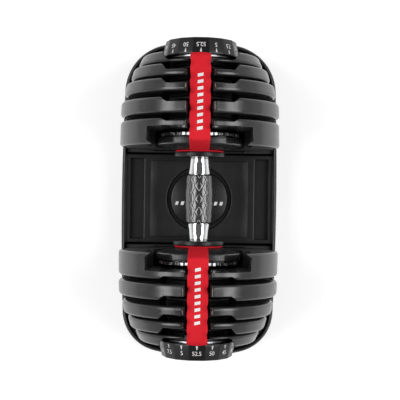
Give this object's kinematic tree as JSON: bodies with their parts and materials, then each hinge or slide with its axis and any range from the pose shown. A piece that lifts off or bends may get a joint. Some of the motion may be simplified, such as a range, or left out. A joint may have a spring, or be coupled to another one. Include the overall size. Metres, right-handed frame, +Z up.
{
  "type": "adjustable dumbbell",
  "caption": "Selector-dial adjustable dumbbell lying in its storage base: turning a dial picks the weight plates that lift out with the handle.",
  "frame": {"origin": "middle of the footprint on the plane that the base's foot strips rest on", "axes": "+Z up, +Y along the handle towards the back dial, +X to the right seen from the front (-Y) end"},
  "size_m": [0.211, 0.429, 0.229],
  "materials": {
    "tray": "fine satin moulded black plastic",
    "cradle": "matt moulded black plastic",
    "medallion": "smooth dark grey plastic",
    "foot": "matt black rubber",
    "handle_chrome": "polished chrome plate",
    "grip": "textured glossy dark grey sleeve",
    "shaft": "bright drawn steel",
    "collar": "satin black plastic",
    "guard": "satin black plastic",
    "bridge": "satin red moulded plastic",
    "end_plate": "zinc plated steel",
    "shaft_nut": "zinc plated steel",
    "lock_pin": "zinc plated steel",
    "lock_spring": "spring steel wire",
    "index_wheel": "bright stamped steel",
    "selector_disc": "dark grey nylon",
    "dial": "satin black plastic with white numbers",
    "dial_cap": "smooth black plastic",
    "plate_cover": "satin black moulded cover",
    "plate_core": "black painted steel"
  },
  "bodies": {
    "base": {"base_tray": "tray", "base_medallion": "medallion", "front_cradle": "cradle", "front_foot_strip": "foot", "back_cradle": "cradle", "back_foot_strip": "foot"},
    "handle": {"handle_core": "handle_chrome", "grip_sleeve": "grip", "centre_shaft": "shaft", "front_collar": "collar", "front_guard": "guard", "front_bridge": "bridge", "front_end_plate": "end_plate", "front_shaft_nut": "shaft_nut", "front_lock_spring": "lock_spring", "back_collar": "collar", "back_guard": "guard", "back_bridge": "bridge", "back_end_plate": "end_plate", "back_shaft_nut": "shaft_nut", "back_lock_spring": "lock_spring"},
    "front_selector": {"front_dial": "dial", "front_dial_cap": "dial_cap", "front_index_wheel": "index_wheel", "front_selector_disc_1": "selector_disc", "front_selector_disc_2": "selector_disc", "front_selector_disc_3": "selector_disc", "front_selector_disc_4": "selector_disc", "front_selector_disc_5": "selector_disc"},
    "front_lock": {"front_lock_pin": "lock_pin"},
    "front_plate_1": {"front_plate_1_cover": "plate_cover", "front_plate_1_core": "plate_core"},
    "front_plate_2": {"front_plate_2_cover": "plate_cover", "front_plate_2_core": "plate_core"},
    "front_plate_3": {"front_plate_3_cover": "plate_cover", "front_plate_3_core": "plate_core"},
    "front_plate_4": {"front_plate_4_cover": "plate_cover", "front_plate_4_core": "plate_core"},
    "front_plate_5": {"front_plate_5_cover": "plate_cover", "front_plate_5_core": "plate_core"},
    "back_selector": {"back_dial": "dial", "back_dial_cap": "dial_cap", "back_index_wheel": "index_wheel", "back_selector_disc_1": "selector_disc", "back_selector_disc_2": "selector_disc", "back_selector_disc_3": "selector_disc", "back_selector_disc_4": "selector_disc", "back_selector_disc_5": "selector_disc"},
    "back_lock": {"back_lock_pin": "lock_pin"},
    "back_plate_1": {"back_plate_1_cover": "plate_cover", "back_plate_1_core": "plate_core"},
    "back_plate_2": {"back_plate_2_cover": "plate_cover", "back_plate_2_core": "plate_core"},
    "back_plate_3": {"back_plate_3_cover": "plate_cover", "back_plate_3_core": "plate_core"},
    "back_plate_4": {"back_plate_4_cover": "plate_cover", "back_plate_4_core": "plate_core"},
    "back_plate_5": {"back_plate_5_cover": "plate_cover", "back_plate_5_core": "plate_core"}
  },
  "joints": [
    {"name": "handle_lift", "type": "slide", "parent": "base", "child": "handle", "axis": [0, 0, 1], "range_m": [0, 0.25]},
    {"name": "front_dial_turn", "type": "hinge", "parent": "handle", "child": "front_selector", "pos_m": [0, -0.19, 0.126], "axis": [0, -1, 0], "continuous": true},
    {"name": "front_lock_slide", "type": "slide", "parent": "handle", "child": "front_lock", "axis": [0, 0, -1], "range_m": [0, 0.006], "deforming": ["front_lock_spring"]},
    {"name": "front_plate_1_lift", "type": "slide", "parent": "base", "child": "front_plate_1", "axis": [0, 0, 1], "range_m": [0, 0.25]},
    {"name": "front_plate_2_lift", "type": "slide", "parent": "base", "child": "front_plate_2", "axis": [0, 0, 1], "range_m": [0, 0.25]},
    {"name": "front_plate_3_lift", "type": "slide", "parent": "base", "child": "front_plate_3", "axis": [0, 0, 1], "range_m": [0, 0.25]},
    {"name": "front_plate_4_lift", "type": "slide", "parent": "base", "child": "front_plate_4", "axis": [0, 0, 1], "range_m": [0, 0.25]},
    {"name": "front_plate_5_lift", "type": "slide", "parent": "base", "child": "front_plate_5", "axis": [0, 0, 1], "range_m": [0, 0.25]},
    {"name": "back_dial_turn", "type": "hinge", "parent": "handle", "child": "back_selector", "pos_m": [0, 0.19, 0.126], "axis": [0, 1, 0], "continuous": true},
    {"name": "back_lock_slide", "type": "slide", "parent": "handle", "child": "back_lock", "axis": [0, 0, -1], "range_m": [0, 0.006], "deforming": ["back_lock_spring"]},
    {"name": "back_plate_1_lift", "type": "slide", "parent": "base", "child": "back_plate_1", "axis": [0, 0, 1], "range_m": [0, 0.25]},
    {"name": "back_plate_2_lift", "type": "slide", "parent": "base", "child": "back_plate_2", "axis": [0, 0, 1], "range_m": [0, 0.25]},
    {"name": "back_plate_3_lift", "type": "slide", "parent": "base", "child": "back_plate_3", "axis": [0, 0, 1], "range_m": [0, 0.25]},
    {"name": "back_plate_4_lift", "type": "slide", "parent": "base", "child": "back_plate_4", "axis": [0, 0, 1], "range_m": [0, 0.25]},
    {"name": "back_plate_5_lift", "type": "slide", "parent": "base", "child": "back_plate_5", "axis": [0, 0, 1], "range_m": [0, 0.25]}
  ],
  "couplings": [
    {"joint": "front_lock_slide", "follows": "handle_lift", "ratio": 0.024},
    {"joint": "front_plate_1_lift", "follows": "handle_lift", "ratio": 1},
    {"joint": "front_plate_2_lift", "follows": "handle_lift", "ratio": 1},
    {"joint": "front_plate_3_lift", "follows": "handle_lift", "ratio": 1},
    {"joint": "front_plate_4_lift", "follows": "handle_lift", "ratio": 1},
    {"joint": "front_plate_5_lift", "follows": "handle_lift", "ratio": 1},
    {"joint": "back_lock_slide", "follows": "handle_lift", "ratio": 0.024},
    {"joint": "back_plate_1_lift", "follows": "handle_lift", "ratio": 1},
    {"joint": "back_plate_2_lift", "follows": "handle_lift", "ratio": 1},
    {"joint": "back_plate_3_lift", "follows": "handle_lift", "ratio": 1},
    {"joint": "back_plate_4_lift", "follows": "handle_lift", "ratio": 1},
    {"joint": "back_plate_5_lift", "follows": "handle_lift", "ratio": 1}
  ]
}
